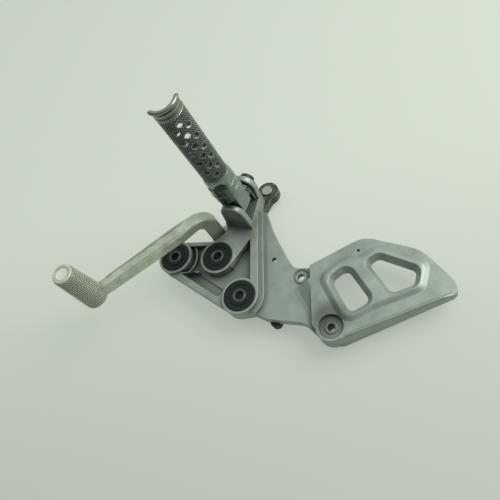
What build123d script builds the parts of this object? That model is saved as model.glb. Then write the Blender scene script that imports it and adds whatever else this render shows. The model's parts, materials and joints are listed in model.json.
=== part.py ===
from build123d import *
import os
from math import cos, radians, sin

# Rider's footrest hanger, right hand: a die casting with three rubber bushes and a heel guard,
# a folding footrest in a clevis, and a forged brake pedal that turns behind the casting.
# Millimetres. Z points outward along the bush bores and X towards the heel guard's tip.
# The origin is on the middle bush's axis, in the plane where the sleeves bear on the frame.

# Mounting bushes: a steel sleeve bonded in rubber, pressed into each boss
SLEEVE_LENGTH = 18.0
SLEEVE_BORE_R = 4.25
SLEEVE_R = 6.3
BUSH_R = 15.0
BUSH_INSET = 0.5
BUSH_GROOVE_R = 10.0
BUSH_GROOVE_WIDTH = 1.4
BUSH_GROOVE_DEPTH = 0.8
FRONT_BUSH = (-45.5, 7.8)
MIDDLE_BUSH = (0.0, 0.0)
LOWER_BUSH = (22.8, -44.25)

# Levels of the casting, measured from the frame's face
BACK_Z = 3.5
WEB_FLOOR_Z = 7.5
RIM_Z = 14.5
DECK_Z = 16.6
BOSS_TOP_Z = 17.0
STEP_Z = 13.4
RIB_TOP_Z = 12.0
DECK_BACK_Z = 5.0
PLATE_TOP_Z = 10.0
PLATE_FLANGE_Z = 1.5

# Walls and radii of the casting
BOSS_WALL = 2.6
BOSS_R = BUSH_R + BOSS_WALL
BOSS_PROUD = 0.6
WALL = 3.0
FLANGE_WALL = 3.5
ARC_RIB_R = 21.2
ARC_RIB_WIDTH = 1.8
ARC_RIB_FIRST = -62.0
ARC_RIB_LAST = 40.0
RIDGE_X = 40.5
RIDGE_STEP = 4.5
RIDGE_WALL = 7.5

# Clevis for the footrest: two ears, their planes square to the hinge pin
PIN_ANGLE = 20.0
EAR_POINT = (23.4, 27.3)
PIN_Z = 38.0
PIN_R = 4.0
EAR_R = 12.0
EAR_THICK = 6.5
EAR_LEFT = 15.0
EAR_RIGHT = 13.0
FAR_EAR_LEFT = 12.0
FAR_EAR_RIGHT = 9.5
CLEVIS_WIDTH = 38.0
CLEVIS_FLOOR_Z = 21.0
EAR_RECESS_DEPTH = 1.6
EAR_RECESS_RIM = 3.2
EAR_RECESS_TAPER = 40.0
EAR_ROUND = 1.6

# Footrest, measured along its axis from the hinge pin
LEAN = 2.4
TANG_SHARE = 0.616
TANG_THICK = (CLEVIS_WIDTH - 2 * EAR_THICK) * TANG_SHARE
TANG_END_R = 10.4
TANG_WIDTH = 21.0
TANG_GAP = 0.35
COLLAR_START = 17.0
COLLAR_R = 13.6
COLLAR_HEX = 25.2
FLATS_START = 37.0
FLATS_LENGTH = 9.0
TUBE_START = 48.6
TUBE_END = 126.8
TUBE_R = 12.1
TUBE_BORE_R = 9.5
SPIGOT_END = 85.0
HOLE_R = 2.75
HOLE_PITCH = 12.45
HOLE_ROWS = 6
HOLE_FIRST = 57.2
HOLE_SPREAD = 30.0
HOLE_TURN = 8.0
LIP_END = 138.0
LIP_RING = 4.0
LIP_FLARE_R = 13.6
LIP_WALL = 2.4
LIP_SINK = 6.0
UP_ANGLE = -67.0

# Hinge pin, its washer and the return spring
PIN_HEAD_R = 7.0
PIN_HEAD = 4.6
PIN_BLIND = 3.4
WASHER_R = 8.4
WASHER_THICK = 1.4
SPRING_R = 7.2
SPRING_TURNS = 3
SPRING_FREE = 0.2
SPRING_ROOM = CLEVIS_WIDTH - 2 * EAR_THICK - TANG_THICK - 2 * TANG_GAP - SPRING_FREE
SPRING_PITCH = SPRING_ROOM / (SPRING_TURNS + 0.78)
SPRING_WIRE_R = 0.39 * SPRING_PITCH

# Brake pedal
PIVOT_POINT = (28.5, 42.5)
SHORT_ARM_POINT = (-3.6, 30.6)
TOE_POINT = (-114.8, -33.0)
PUSHROD_POINT = (47.3, 72.2)
PEDAL_BACK_Z = -4.5
PEDAL_FRONT_Z = 4.4
ARM_TOP_Z = 48.0
ARM_THICK = 11.0
ARM_WIDTH = 15.5
ARM_END_WIDTH = 11.5
ARM_SWELL = 14.0
SHORT_ARM_THICK = 14.5
SHORT_ARM_WIDTH = 12.5
BEND_R = 20.0
ARM_ROUND = 1.6
TOE_R = 9.8
TOE_BACK_Z = 37.5
TOE_BOSS_R = 11.6
TOE_DISH_R = 6.6
TOE_DISH = 0.8
TOE_ROUND = 1.2
TOE_FRONT_Z = 90.0
PIVOT_BOSS_R = 12.0
PUSHROD_BOSS_R = 11.0
REAR_ARM_R = 8.5
REAR_RECESS = 2.4
REAR_RIM = 2.6

# Pedal pivot
SHOULDER_R = 6.0
PIVOT_RUNNING = 0.05
PIVOT_BUSH_WALL = 2.0
PIVOT_THREAD_R = 4.0
PIVOT_THREAD = 12.0
PIVOT_HEAD_R = 9.5
PIVOT_HEAD = 4.0
SEAT_GAP = 0.3

# Clevis pin of the brake pushrod
ROD_PIN_R = 3.9
ROD_HEAD_R = 5.2
ROD_HEAD = 2.4
ROD_TAIL = 5.5
ROD_WASHER_R = 7.0
ROD_WASHER_THICK = 1.2
SPLIT_R = 0.9
SPLIT_REACH = 8.4
SPLIT_EYE_R = 2.2
SPLIT_ANGLE = -21.0
SPLIT_Z = -8.0

# Master cylinder holes in the plate
HOLE_TOP = (78.5, -32.5)
HOLE_LOW = (102.0, -83.0)
CYLINDER_HOLE_R = 3.3
SPOT_R = 7.6
SPOT_Z = 9.0
SEAT_RING_R = 5.4
SEAT_RING = 0.9
COUNTERBORE_R = 10.6
COUNTERBORE_Z = 11.6
LOW_BOSS_R = 12.8
SMALL_HOLE = (54.0, -10.5)
SMALL_HOLE_R = 2.3

# Heel guard
GUARD_TOP_Z = 15.0
GUARD_THICK = 3.5
GUARD_BACK_Z = GUARD_TOP_Z - GUARD_THICK
BEAD_TOP_Z = 17.4
BEAD_SPREAD = 1.5
BEAD_SLOPE = 5.0
BEAD_ROUND = 6.0
FUNNEL_TAPER = 40.0
SKIRT_Z = 8.0
LOW_SKIRT_Z = -4.0
TIP_SKIRT_Z = 7.0
LOW_BOSS_BACK_Z = -1.0
WINDOW_LIP = 1.0
PIT_POINT = (131.3, -18.0)
PIT_R = 1.3
PIT_DEPTH = 2.0
CREASE_TOP = (71.0, -44.0)
CREASE_LOW = (88.0, -82.0)
CREASE_RUN = 15.0

# Rubber buffer behind the plate's lower edge
BUFFER_POINT = (51.5, -67.0)
BUFFER_R = 5.0
BUFFER_BACK_Z = -5.5

PIN_DIR = Vector(sin(radians(PIN_ANGLE)), cos(radians(PIN_ANGLE)), 0)
FOLD_DIR = Vector(cos(radians(PIN_ANGLE)), -sin(radians(PIN_ANGLE)), 0)
EAR_PLANE = Plane(origin=(*EAR_POINT, 0), x_dir=-FOLD_DIR, z_dir=PIN_DIR)

TANG_CENTRE = EAR_THICK + TANG_GAP + TANG_THICK / 2
HINGE = Vector(*EAR_POINT, PIN_Z) + PIN_DIR * TANG_CENTRE
REST_DIR = Vector(0, 0, 1) * cos(radians(LEAN)) - FOLD_DIR * sin(radians(LEAN))
REST_PLANE = Plane(origin=HINGE, x_dir=PIN_DIR, z_dir=REST_DIR)
PIN_PLANE = Plane(origin=Vector(*EAR_POINT, PIN_Z), x_dir=REST_DIR, z_dir=PIN_DIR)
UP_FLAT = Vector(cos(radians(UP_ANGLE)), sin(radians(UP_ANGLE)), 0)
UP_DIR = (UP_FLAT - REST_DIR * UP_FLAT.dot(REST_DIR)).normalized()

ARM_LINE = Vector(*SHORT_ARM_POINT, 0) - Vector(*TOE_POINT, 0)
ARM_DIR = ARM_LINE.normalized()
ARM_REACH = ARM_LINE.length
ARM_PLANE = Plane(
    origin=(*SHORT_ARM_POINT, 0), x_dir=ARM_DIR, z_dir=ARM_DIR.cross(Vector(0, 0, 1))
)


def level(z):
    """Plane parallel to the frame's face, at a height."""
    return Plane.XY.offset(z)


def boss_outline():
    """Tight outline round the three bosses, just inside their edges."""
    with BuildSketch() as outline:
        with Locations(FRONT_BUSH, MIDDLE_BUSH, LOWER_BUSH):
            Circle(BOSS_R - BOSS_PROUD)
        make_hull()
    return outline.sketch


def deck_outline():
    """Platform from the middle boss to the clevis, and the ridge beside the plate."""
    with BuildSketch() as outline:
        with BuildLine():
            Polyline(
                (-7.0, 15.5), (9.0, 26.5), (9.0, 33.0), (22.0, 60.0), (44.0, 56.0),
                (RIDGE_X, 40.0), (RIDGE_X, LOWER_BUSH[1]), (RIDGE_X - RIDGE_WALL, LOWER_BUSH[1]),
                (RIDGE_X - RIDGE_WALL, 13.0), (13.0, -12.0), (0.0, -6.0), close=True,
            )
        make_face()
    return outline.sketch


def plate_outline():
    """Flat plate between the ridge and the heel guard."""
    with BuildSketch() as outline:
        with BuildLine():
            FilletPolyline(
                (30.0, 44.0), (47.5, 44.0), (54.0, 20.0), (66.0, -9.5), (73.0, -22.7),
                (92.0, -25.2), (112.0, -80.0), (96.0, -94.0), (79.0, -75.0), (46.0, -67.5),
                (34.0, -60.5), (22.8, -61.0), radius=(0, 2, 20, 30, 8, 2, 2, 8, 14, 10, 4, 0),
                close=True,
            )
        make_face()
    return outline.sketch


def step_outline():
    """Lower step of the ridge, which turns round the lower boss."""
    with BuildSketch() as outline:
        with Locations(((RIDGE_X + RIDGE_STEP + 30.0) / 2, (42.0 + LOWER_BUSH[1]) / 2)):
            Rectangle(RIDGE_X + RIDGE_STEP - 30.0, 42.0 - LOWER_BUSH[1])
        with Locations(LOWER_BUSH):
            Circle(BOSS_R + RIDGE_STEP)
        add(plate_outline(), mode=Mode.INTERSECT)
    return outline.sketch


def guard_outline():
    """Outer edge of the heel guard."""
    with BuildSketch() as outline:
        with BuildLine():
            FilletPolyline(
                (88.0, -24.6), (137.0, -5.6), (181.5, -26.8), (203.0, -60.0), (202.8, -69.2),
                (103.0, -96.4), (86.5, -80.5), radius=(1, 22, 34, 14, 6, 15, 5), close=True,
            )
        make_face()
    return outline.sketch


def left_window():
    with BuildSketch() as window:
        with BuildLine():
            FilletPolyline(
                (106.3, -42.4), (120.5, -34.0), (136.2, -65.0), (118.5, -72.8), radius=5.2, close=True
            )
        make_face()
    return window.sketch


def right_window():
    with BuildSketch() as window:
        with BuildLine():
            FilletPolyline(
                (138.9, -32.4), (147.3, -28.0), (175.5, -45.0), (171.8, -56.2), (153.3, -60.8),
                radius=(3.4, 5, 5, 5, 6), close=True,
            )
        make_face()
    return window.sketch


def bead_outline():
    """Foot of the raised bead that runs round both windows."""
    with BuildSketch() as outline:
        with BuildLine():
            FilletPolyline(
                (94.8, -37.2), (119.5, -22.0), (131.0, -24.4), (147.2, -16.3), (186.0, -39.6),
                (178.5, -62.3), (138.6, -72.3), (113.3, -83.4),
                radius=(10, 10, 8, 10, 9, 8, 20, 11), close=True,
            )
        make_face()
    return outline.sketch


def pocket_corner():
    """Pocket under the platform's diagonal edge."""
    with BuildSketch() as pocket:
        with BuildLine():
            Polyline(
                (RIDGE_X - RIDGE_WALL, 14.0), (RIDGE_X - RIDGE_WALL, -30.0), (4.0, -40.0),
                (-22.0, -13.0), (-14.0, -6.0), (13.6, -12.6), close=True,
            )
        make_face()
    return pocket.sketch


def pocket_web():
    """Pocket between the front and middle bosses, inside the rim."""
    with BuildSketch() as pocket:
        with BuildLine():
            Polyline((-44.0, 20.2), (-8.0, 14.8), (-13.8, -12.0), (-42.0, -8.8), close=True)
        make_face()
    return pocket.sketch


def pocket_long():
    """Deeper pocket along the lower rim."""
    with BuildSketch() as pocket:
        with BuildLine():
            FilletPolyline(
                (-38.5, -10.6), (-26.0, -10.6), (-19.0, -14.0), (5.8, -34.0), (1.0, -41.5),
                radius=(0, 3, 3, 3, 3), close=True,
            )
        make_face()
        with Locations(LOWER_BUSH):
            Circle(BOSS_R + 1.5, mode=Mode.SUBTRACT)
    return pocket.sketch


def ear_profile(left, right, margin=0.0):
    """One clevis ear, round at the hinge pin and wider at its foot."""
    with BuildSketch() as profile:
        with Locations((0, PIN_Z)):
            Circle(EAR_R - margin)
        foot = CLEVIS_FLOOR_Z - 4.0 + margin
        with Locations(((left - right) / 2, foot)):
            Rectangle(left + right - 2 * margin, 1.0)
        make_hull()
    return profile.sketch


# Raised bead round both windows, made by itself so that its edge can be rounded
with BuildPart() as bead:
    with BuildSketch(level(GUARD_TOP_Z - 1.0)):
        offset(bead_outline(), amount=BEAD_SPREAD)
    extrude(amount=BEAD_TOP_Z - GUARD_TOP_Z + 1.0)
    crown = bead.faces().sort_by(Axis.Z)[-1]
    chamfer(crown.edges(), length=BEAD_SLOPE, length2=BEAD_TOP_Z - GUARD_TOP_Z + 0.2, reference=crown)
    fillet(bead.faces().sort_by(Axis.Z)[-1].edges(), radius=BEAD_ROUND)

# Skirt along the guard's lower edge, deeper towards the lower hole
with BuildPart() as skirt:
    with BuildSketch(level(LOW_SKIRT_Z)):
        add(guard_outline())
        offset(guard_outline(), amount=-WALL, kind=Kind.INTERSECTION, mode=Mode.SUBTRACT)
        with BuildLine():
            Polyline(
                (84.0, -84.0), (190.0, -50.0), (230.0, -60.0), (210.0, -110.0), (84.0, -110.0),
                close=True,
            )
        make_face(mode=Mode.INTERSECT)
    extrude(amount=GUARD_TOP_Z - 1.5 - LOW_SKIRT_Z)
    with BuildSketch(Plane.XZ.offset(-40.0)):
        with BuildLine():
            Polyline(
                (HOLE_LOW[0], LOW_SKIRT_Z - 1.0), (HOLE_LOW[0] + 8.0, LOW_SKIRT_Z),
                (205.0, TIP_SKIRT_Z), (220.0, LOW_SKIRT_Z - 1.0), close=True,
            )
        make_face()
    extrude(amount=160.0, mode=Mode.SUBTRACT)

# Heel guard: a plate with a turned-down rim, the bead, and windows with sloping walls
with BuildPart() as guard:
    with BuildSketch(level(GUARD_BACK_Z)):
        add(guard_outline())
    extrude(amount=GUARD_THICK)
    with BuildSketch(level(SKIRT_Z)):
        add(guard_outline())
        offset(guard_outline(), amount=-WALL, kind=Kind.INTERSECTION, mode=Mode.SUBTRACT)
    extrude(amount=GUARD_TOP_Z - 1.0 - SKIRT_Z)
    add(bead.part)
    for window in (left_window(), right_window()):
        with BuildSketch(level(GUARD_BACK_Z + WINDOW_LIP)):
            add(window)
        extrude(amount=BEAD_TOP_Z - GUARD_BACK_Z, taper=-FUNNEL_TAPER, mode=Mode.SUBTRACT)
        with BuildSketch(level(SKIRT_Z)):
            add(window)
        extrude(amount=BEAD_TOP_Z - SKIRT_Z, mode=Mode.SUBTRACT)
    add(skirt.part)

# Sloping facet from the plate's crease up to the guard
crease = Vector(*CREASE_LOW) - Vector(*CREASE_TOP)
with BuildPart() as facet:
    with BuildSketch(Plane(origin=(*CREASE_TOP, 0), x_dir=crease.cross(Vector(0, 0, -1)), z_dir=crease)):
        with BuildLine():
            Polyline(
                (0, PLATE_TOP_Z - 1.0), (0, PLATE_TOP_Z), (4.0, PLATE_TOP_Z + 0.6),
                (CREASE_RUN, GUARD_TOP_Z), (CREASE_RUN + 8.0, GUARD_TOP_Z),
                (CREASE_RUN + 8.0, PLATE_TOP_Z - 1.0), close=True,
            )
        make_face()
    extrude(amount=crease.length * 1.5)
    with BuildSketch(level(PLATE_TOP_Z - 2.0)):
        add(plate_outline())
    extrude(amount=GUARD_TOP_Z, mode=Mode.INTERSECT)

# Clevis ears with rounded edges, the near one recessed on its outer face
with BuildPart() as near_ear:
    with BuildSketch(EAR_PLANE):
        add(ear_profile(EAR_LEFT, EAR_RIGHT))
    extrude(amount=EAR_THICK)
    fillet(near_ear.edges().filter_by(GeomType.CIRCLE), radius=EAR_ROUND)
    with BuildSketch(EAR_PLANE):
        add(ear_profile(EAR_LEFT, EAR_RIGHT, EAR_RECESS_RIM))
    extrude(amount=EAR_RECESS_DEPTH, taper=EAR_RECESS_TAPER, mode=Mode.SUBTRACT)

with BuildPart() as far_ear:
    with BuildSketch(EAR_PLANE.offset(CLEVIS_WIDTH - EAR_THICK)):
        add(ear_profile(FAR_EAR_LEFT, FAR_EAR_RIGHT))
    extrude(amount=EAR_THICK)
    fillet(far_ear.edges().filter_by(GeomType.CIRCLE), radius=EAR_ROUND)

# Hanger casting
with BuildPart() as hanger:
    with BuildSketch(level(BACK_Z)):
        add(boss_outline())
    extrude(amount=RIM_Z - BACK_Z)
    # Floor of the corner pocket, out to the ridge
    with BuildSketch(level(BACK_Z)):
        with BuildLine():
            Polyline(MIDDLE_BUSH, (RIDGE_X - 2.0, 16.0), (RIDGE_X - 2.0, -38.0), LOWER_BUSH, close=True)
        make_face()
    extrude(amount=WEB_FLOOR_Z - BACK_Z)
    with BuildSketch(level(DECK_BACK_Z)):
        add(deck_outline())
    extrude(amount=DECK_Z - DECK_BACK_Z)
    with BuildSketch(level(DECK_BACK_Z)):
        add(step_outline())
    extrude(amount=STEP_Z - DECK_BACK_Z)
    with BuildSketch(level(DECK_BACK_Z)):
        add(plate_outline())
    extrude(amount=PLATE_TOP_Z - DECK_BACK_Z)
    # Return flange behind the plate's edge
    with BuildSketch(level(PLATE_FLANGE_Z)):
        add(plate_outline())
        offset(plate_outline(), amount=-FLANGE_WALL, kind=Kind.INTERSECTION, mode=Mode.SUBTRACT)
        with Locations((30.0, 20.0)):
            Rectangle(60.0, 70.0, mode=Mode.SUBTRACT)
    extrude(amount=DECK_BACK_Z - PLATE_FLANGE_Z)
    # Pockets in the front
    for pocket in (pocket_corner(), pocket_web()):
        with BuildSketch(level(WEB_FLOOR_Z)):
            add(pocket)
        extrude(amount=BOSS_TOP_Z - WEB_FLOOR_Z, mode=Mode.SUBTRACT)
    with BuildSketch(level(BACK_Z - 1.0)):
        add(pocket_long())
    extrude(amount=BOSS_TOP_Z, mode=Mode.SUBTRACT)
    # Curved rib beside the front boss
    with BuildSketch(level(WEB_FLOOR_Z - 1.0)):
        with Locations(FRONT_BUSH):
            Circle(ARC_RIB_R + ARC_RIB_WIDTH / 2)
            Circle(ARC_RIB_R - ARC_RIB_WIDTH / 2, mode=Mode.SUBTRACT)
        with BuildLine():
            Polyline(
                FRONT_BUSH, Vector(*FRONT_BUSH) + Vector(2 * ARC_RIB_R, 0).rotate(Axis.Z, ARC_RIB_FIRST),
                Vector(*FRONT_BUSH) + Vector(2 * ARC_RIB_R, 0).rotate(Axis.Z, ARC_RIB_LAST), close=True,
            )
        make_face(mode=Mode.INTERSECT)
    extrude(amount=RIB_TOP_Z - WEB_FLOOR_Z + 1.0)
    # Bosses
    with BuildSketch(level(BACK_Z)):
        with Locations(FRONT_BUSH, MIDDLE_BUSH, LOWER_BUSH):
            Circle(BOSS_R)
    extrude(amount=BOSS_TOP_Z - BACK_Z)
    # Clevis block and ears
    with BuildSketch(Plane(origin=(*EAR_POINT, DECK_BACK_Z), x_dir=FOLD_DIR)):
        with BuildLine():
            Polyline(
                (-EAR_LEFT, 0), (EAR_RIGHT, 0), (FAR_EAR_RIGHT, CLEVIS_WIDTH),
                (-FAR_EAR_LEFT, CLEVIS_WIDTH), close=True,
            )
        make_face()
    extrude(amount=CLEVIS_FLOOR_Z - DECK_BACK_Z)
    add(near_ear.part)
    add(far_ear.part)
    add(facet.part)
    add(guard.part)
    with BuildSketch(level(GUARD_TOP_Z - PIT_DEPTH)):
        with Locations(PIT_POINT):
            Circle(PIT_R)
    extrude(amount=PIT_DEPTH, mode=Mode.SUBTRACT)
    # Boss and counterbore of the lower hole, spot face of the upper one
    with BuildSketch(level(LOW_BOSS_BACK_Z)):
        with Locations(HOLE_LOW):
            Circle(LOW_BOSS_R)
    extrude(amount=GUARD_TOP_Z - LOW_BOSS_BACK_Z)
    with BuildSketch(level(COUNTERBORE_Z)):
        with Locations(HOLE_LOW):
            Circle(COUNTERBORE_R)
    extrude(amount=BEAD_TOP_Z, mode=Mode.SUBTRACT)
    with BuildSketch(level(SPOT_Z)):
        with Locations(HOLE_TOP):
            Circle(SPOT_R)
    extrude(amount=BEAD_TOP_Z, mode=Mode.SUBTRACT)
    for point, seat in ((HOLE_TOP, SPOT_Z), (HOLE_LOW, COUNTERBORE_Z)):
        with BuildSketch(level(seat)):
            with Locations(point):
                Circle(SEAT_RING_R)
        extrude(amount=SEAT_RING)
    with BuildSketch(level(LOW_SKIRT_Z)):
        with Locations(HOLE_TOP, HOLE_LOW):
            Circle(CYLINDER_HOLE_R)
        with Locations(SMALL_HOLE):
            Circle(SMALL_HOLE_R)
        with Locations(FRONT_BUSH, MIDDLE_BUSH, LOWER_BUSH):
            Circle(BUSH_R)
    extrude(amount=BEAD_TOP_Z - LOW_SKIRT_Z, mode=Mode.SUBTRACT)
    # Bores of the hinge pin, the pedal's pivot bolt and the buffer
    with BuildSketch(EAR_PLANE.offset(EAR_THICK - PIN_BLIND)):
        with Locations((0, PIN_Z)):
            Circle(PIN_R)
    extrude(amount=CLEVIS_WIDTH, mode=Mode.SUBTRACT)
    with BuildSketch(level(DECK_BACK_Z - 1.0)):
        with Locations(PIVOT_POINT):
            Circle(PIVOT_THREAD_R)
    extrude(amount=PIVOT_THREAD + 1.5, mode=Mode.SUBTRACT)
hanger.part.label = "hanger"

# Bushes
bushes = {"front": FRONT_BUSH, "middle": MIDDLE_BUSH, "lower": LOWER_BUSH}
rubbers = {}
sleeves = {}
for place, point in bushes.items():
    with BuildPart() as rubber:
        with BuildSketch(level(BACK_Z)):
            with Locations(point):
                Circle(BUSH_R)
                Circle(SLEEVE_R, mode=Mode.SUBTRACT)
        extrude(amount=SLEEVE_LENGTH - BUSH_INSET - BACK_Z)
        with BuildSketch(level(SLEEVE_LENGTH - BUSH_INSET - BUSH_GROOVE_DEPTH)):
            with Locations(point):
                Circle(BUSH_GROOVE_R + BUSH_GROOVE_WIDTH / 2)
                Circle(BUSH_GROOVE_R - BUSH_GROOVE_WIDTH / 2, mode=Mode.SUBTRACT)
        extrude(amount=BUSH_GROOVE_DEPTH, mode=Mode.SUBTRACT)
    rubber.part.label = place + "_bush_rubber"
    rubbers[place] = rubber
    with BuildPart() as sleeve:
        with BuildSketch():
            with Locations(point):
                Circle(SLEEVE_R)
                Circle(SLEEVE_BORE_R, mode=Mode.SUBTRACT)
        extrude(amount=SLEEVE_LENGTH)
        chamfer(sleeve.edges().filter_by(GeomType.CIRCLE), length=0.4)
    sleeve.part.label = place + "_bush_sleeve"
    sleeves[place] = sleeve

# Footrest shank: tang, collar and the spigot inside the tube
with BuildPart() as footrest_shank:
    tang_plane = Plane(
        origin=HINGE - PIN_DIR * (TANG_THICK / 2), x_dir=REST_PLANE.y_dir, z_dir=PIN_DIR
    )
    with BuildSketch(tang_plane):
        Circle(TANG_END_R)
        with Locations((0, (COLLAR_START + 2.0) / 2)):
            Rectangle(TANG_WIDTH, COLLAR_START + 2.0)
    extrude(amount=TANG_THICK)
    with BuildSketch(Plane(origin=HINGE, x_dir=REST_PLANE.x_dir, z_dir=REST_PLANE.y_dir)):
        with BuildLine():
            Polyline(
                (0, -COLLAR_START), (COLLAR_R - 2.6, -COLLAR_START), (COLLAR_R, -COLLAR_START - 3.0),
                (COLLAR_R, -TUBE_START + 5.0), (TUBE_R, -TUBE_START), (TUBE_BORE_R, -TUBE_START),
                (TUBE_BORE_R, -SPIGOT_END + 1.0), (TUBE_BORE_R - 1.0, -SPIGOT_END), (0, -SPIGOT_END),
                close=True,
            )
        make_face()
    revolve(axis=Axis(HINGE, REST_DIR), revolution_arc=360)
    with BuildSketch(REST_PLANE.offset(FLATS_START)):
        Circle(COLLAR_R + 2.0)
        RegularPolygon(COLLAR_HEX / 2, 6, major_radius=False, mode=Mode.SUBTRACT)
    extrude(amount=FLATS_LENGTH, mode=Mode.SUBTRACT)
    with BuildSketch(tang_plane):
        Circle(PIN_R + PIVOT_RUNNING)
    extrude(amount=TANG_THICK, mode=Mode.SUBTRACT)
footrest_shank.part.label = "footrest_shank"

# Footrest tube, drilled in three directions through both walls
with BuildPart() as footrest_tube:
    with BuildSketch(REST_PLANE.offset(TUBE_START)):
        Circle(TUBE_R)
        Circle(TUBE_BORE_R, mode=Mode.SUBTRACT)
    extrude(amount=TUBE_END - TUBE_START)
    for side in (-1, 0, 1):
        aim = UP_DIR.rotate(Axis((0, 0, 0), REST_DIR), HOLE_TURN + side * HOLE_SPREAD)
        rows = HOLE_ROWS - abs(side)
        for row in range(rows):
            height = HOLE_FIRST + HOLE_PITCH * (row + 0.5 * abs(side))
            drill = Plane(origin=HINGE + REST_DIR * height - aim * (TUBE_R + 1.0), z_dir=aim)
            with BuildSketch(drill):
                Circle(HOLE_R)
            extrude(amount=2 * TUBE_R + 2.0, mode=Mode.SUBTRACT)
footrest_tube.part.label = "footrest_tube"

# Footrest end: a ring in the tube with a flared half-moon lip on its upper side
with BuildPart() as footrest_end_lip:
    with BuildSketch(Plane(origin=HINGE, x_dir=UP_DIR, z_dir=UP_DIR.cross(REST_DIR))):
        with BuildLine():
            Polyline(
                (TUBE_BORE_R - LIP_WALL, TUBE_END - LIP_SINK), (TUBE_BORE_R, TUBE_END - LIP_SINK),
                (TUBE_BORE_R, TUBE_END), (TUBE_R, TUBE_END), (TUBE_R - 0.4, TUBE_END + LIP_RING),
                (TUBE_R + 0.2, LIP_END - 4.0), (LIP_FLARE_R, LIP_END - 1.4),
                (LIP_FLARE_R - 0.8, LIP_END), (LIP_FLARE_R - LIP_WALL, LIP_END - 1.0),
                (TUBE_R - LIP_WALL, LIP_END - 4.0), (TUBE_R - LIP_WALL, TUBE_END + LIP_RING),
                (TUBE_BORE_R - LIP_WALL, TUBE_END + 1.0), close=True,
            )
        make_face()
    revolve(axis=Axis(HINGE, REST_DIR), revolution_arc=360)
    with BuildSketch(Plane(origin=HINGE, x_dir=UP_DIR, z_dir=UP_DIR.cross(REST_DIR))):
        with BuildLine():
            FilletPolyline(
                (-20.0, TUBE_END), (0.0, TUBE_END), (3.0, LIP_END + 2.0),
                (-20.0, LIP_END + 2.0), radius=(0, 3, 0, 0), close=True,
            )
        make_face()
    extrude(amount=20.0, both=True, mode=Mode.SUBTRACT)
footrest_end_lip.part.label = "footrest_end_lip"

# Hinge pin, blind in the near ear, with its head beyond the far one
with BuildPart() as footrest_hinge_pin:
    with BuildSketch(PIN_PLANE.offset(EAR_THICK - PIN_BLIND + SEAT_GAP)):
        Circle(PIN_R)
    extrude(amount=CLEVIS_WIDTH - EAR_THICK + PIN_BLIND - SEAT_GAP + WASHER_THICK)
    with BuildSketch(PIN_PLANE.offset(CLEVIS_WIDTH + WASHER_THICK)):
        Circle(PIN_HEAD_R)
    extrude(amount=PIN_HEAD)
    fillet(footrest_hinge_pin.faces().sort_by(Axis(HINGE, PIN_DIR))[-1].edges(), radius=1.2)
footrest_hinge_pin.part.label = "footrest_hinge_pin"

with BuildPart() as hinge_pin_washer:
    with BuildSketch(PIN_PLANE.offset(CLEVIS_WIDTH)):
        Circle(WASHER_R)
        Circle(PIN_R, mode=Mode.SUBTRACT)
    extrude(amount=WASHER_THICK)
hinge_pin_washer.part.label = "hinge_pin_washer"

# Torsion spring round the pin, with one leg up against the collar and one down on the clevis floor
spring_start = EAR_THICK + 2 * TANG_GAP + TANG_THICK + SPRING_WIRE_R
spring_height = SPRING_TURNS * SPRING_PITCH
with BuildPart() as footrest_return_spring:
    coil_plane = PIN_PLANE.offset(spring_start)
    with BuildLine():
        coil = Helix(SPRING_PITCH, spring_height, SPRING_R, center=coil_plane.origin, direction=PIN_DIR)
    with BuildSketch(Plane(origin=coil @ 0, z_dir=coil % 0)):
        Circle(SPRING_WIRE_R)
    sweep(path=coil)
    for end, overlap, reach in ((0, -1.0, COLLAR_START - 2.0), (1, 1.0, CLEVIS_FLOOR_Z + 1.0 - PIN_Z)):
        with BuildSketch(Plane(origin=coil @ end).offset(overlap)):
            Circle(SPRING_WIRE_R - 0.02)
        extrude(amount=reach)
footrest_return_spring.part.label = "footrest_return_spring"

# Brake pedal: one forging, with the long arm over the bosses and its boss behind the clevis
arm_half = SHORT_ARM_THICK / 2
with BuildPart() as short_arm:
    with BuildSketch(ARM_PLANE.offset(-SHORT_ARM_WIDTH / 2)):
        with BuildLine():
            FilletPolyline(
                (-arm_half - 12.0, ARM_TOP_Z - ARM_THICK), (-arm_half, ARM_TOP_Z - ARM_THICK),
                (-arm_half, PEDAL_BACK_Z), (arm_half, PEDAL_BACK_Z), (arm_half, ARM_TOP_Z),
                (-arm_half - 12.0, ARM_TOP_Z), radius=(0, 6, 0, 0, BEND_R, 0), close=True,
            )
        make_face()
    extrude(amount=SHORT_ARM_WIDTH)
    fillet(short_arm.edges(), radius=ARM_ROUND)

arm_start = arm_half - BEND_R
with BuildPart() as long_arm:
    with BuildSketch(Plane(origin=(*SHORT_ARM_POINT, ARM_TOP_Z - ARM_THICK), x_dir=ARM_DIR)):
        with BuildLine():
            Polyline(
                (arm_start, SHORT_ARM_WIDTH / 2), (arm_start - ARM_SWELL, ARM_WIDTH / 2),
                (-ARM_REACH, ARM_END_WIDTH / 2), (-ARM_REACH, -ARM_END_WIDTH / 2),
                (arm_start - ARM_SWELL, -ARM_WIDTH / 2), (arm_start, -SHORT_ARM_WIDTH / 2), close=True,
            )
        make_face()
    extrude(amount=ARM_THICK)
    fillet(long_arm.edges(), radius=ARM_ROUND)

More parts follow.
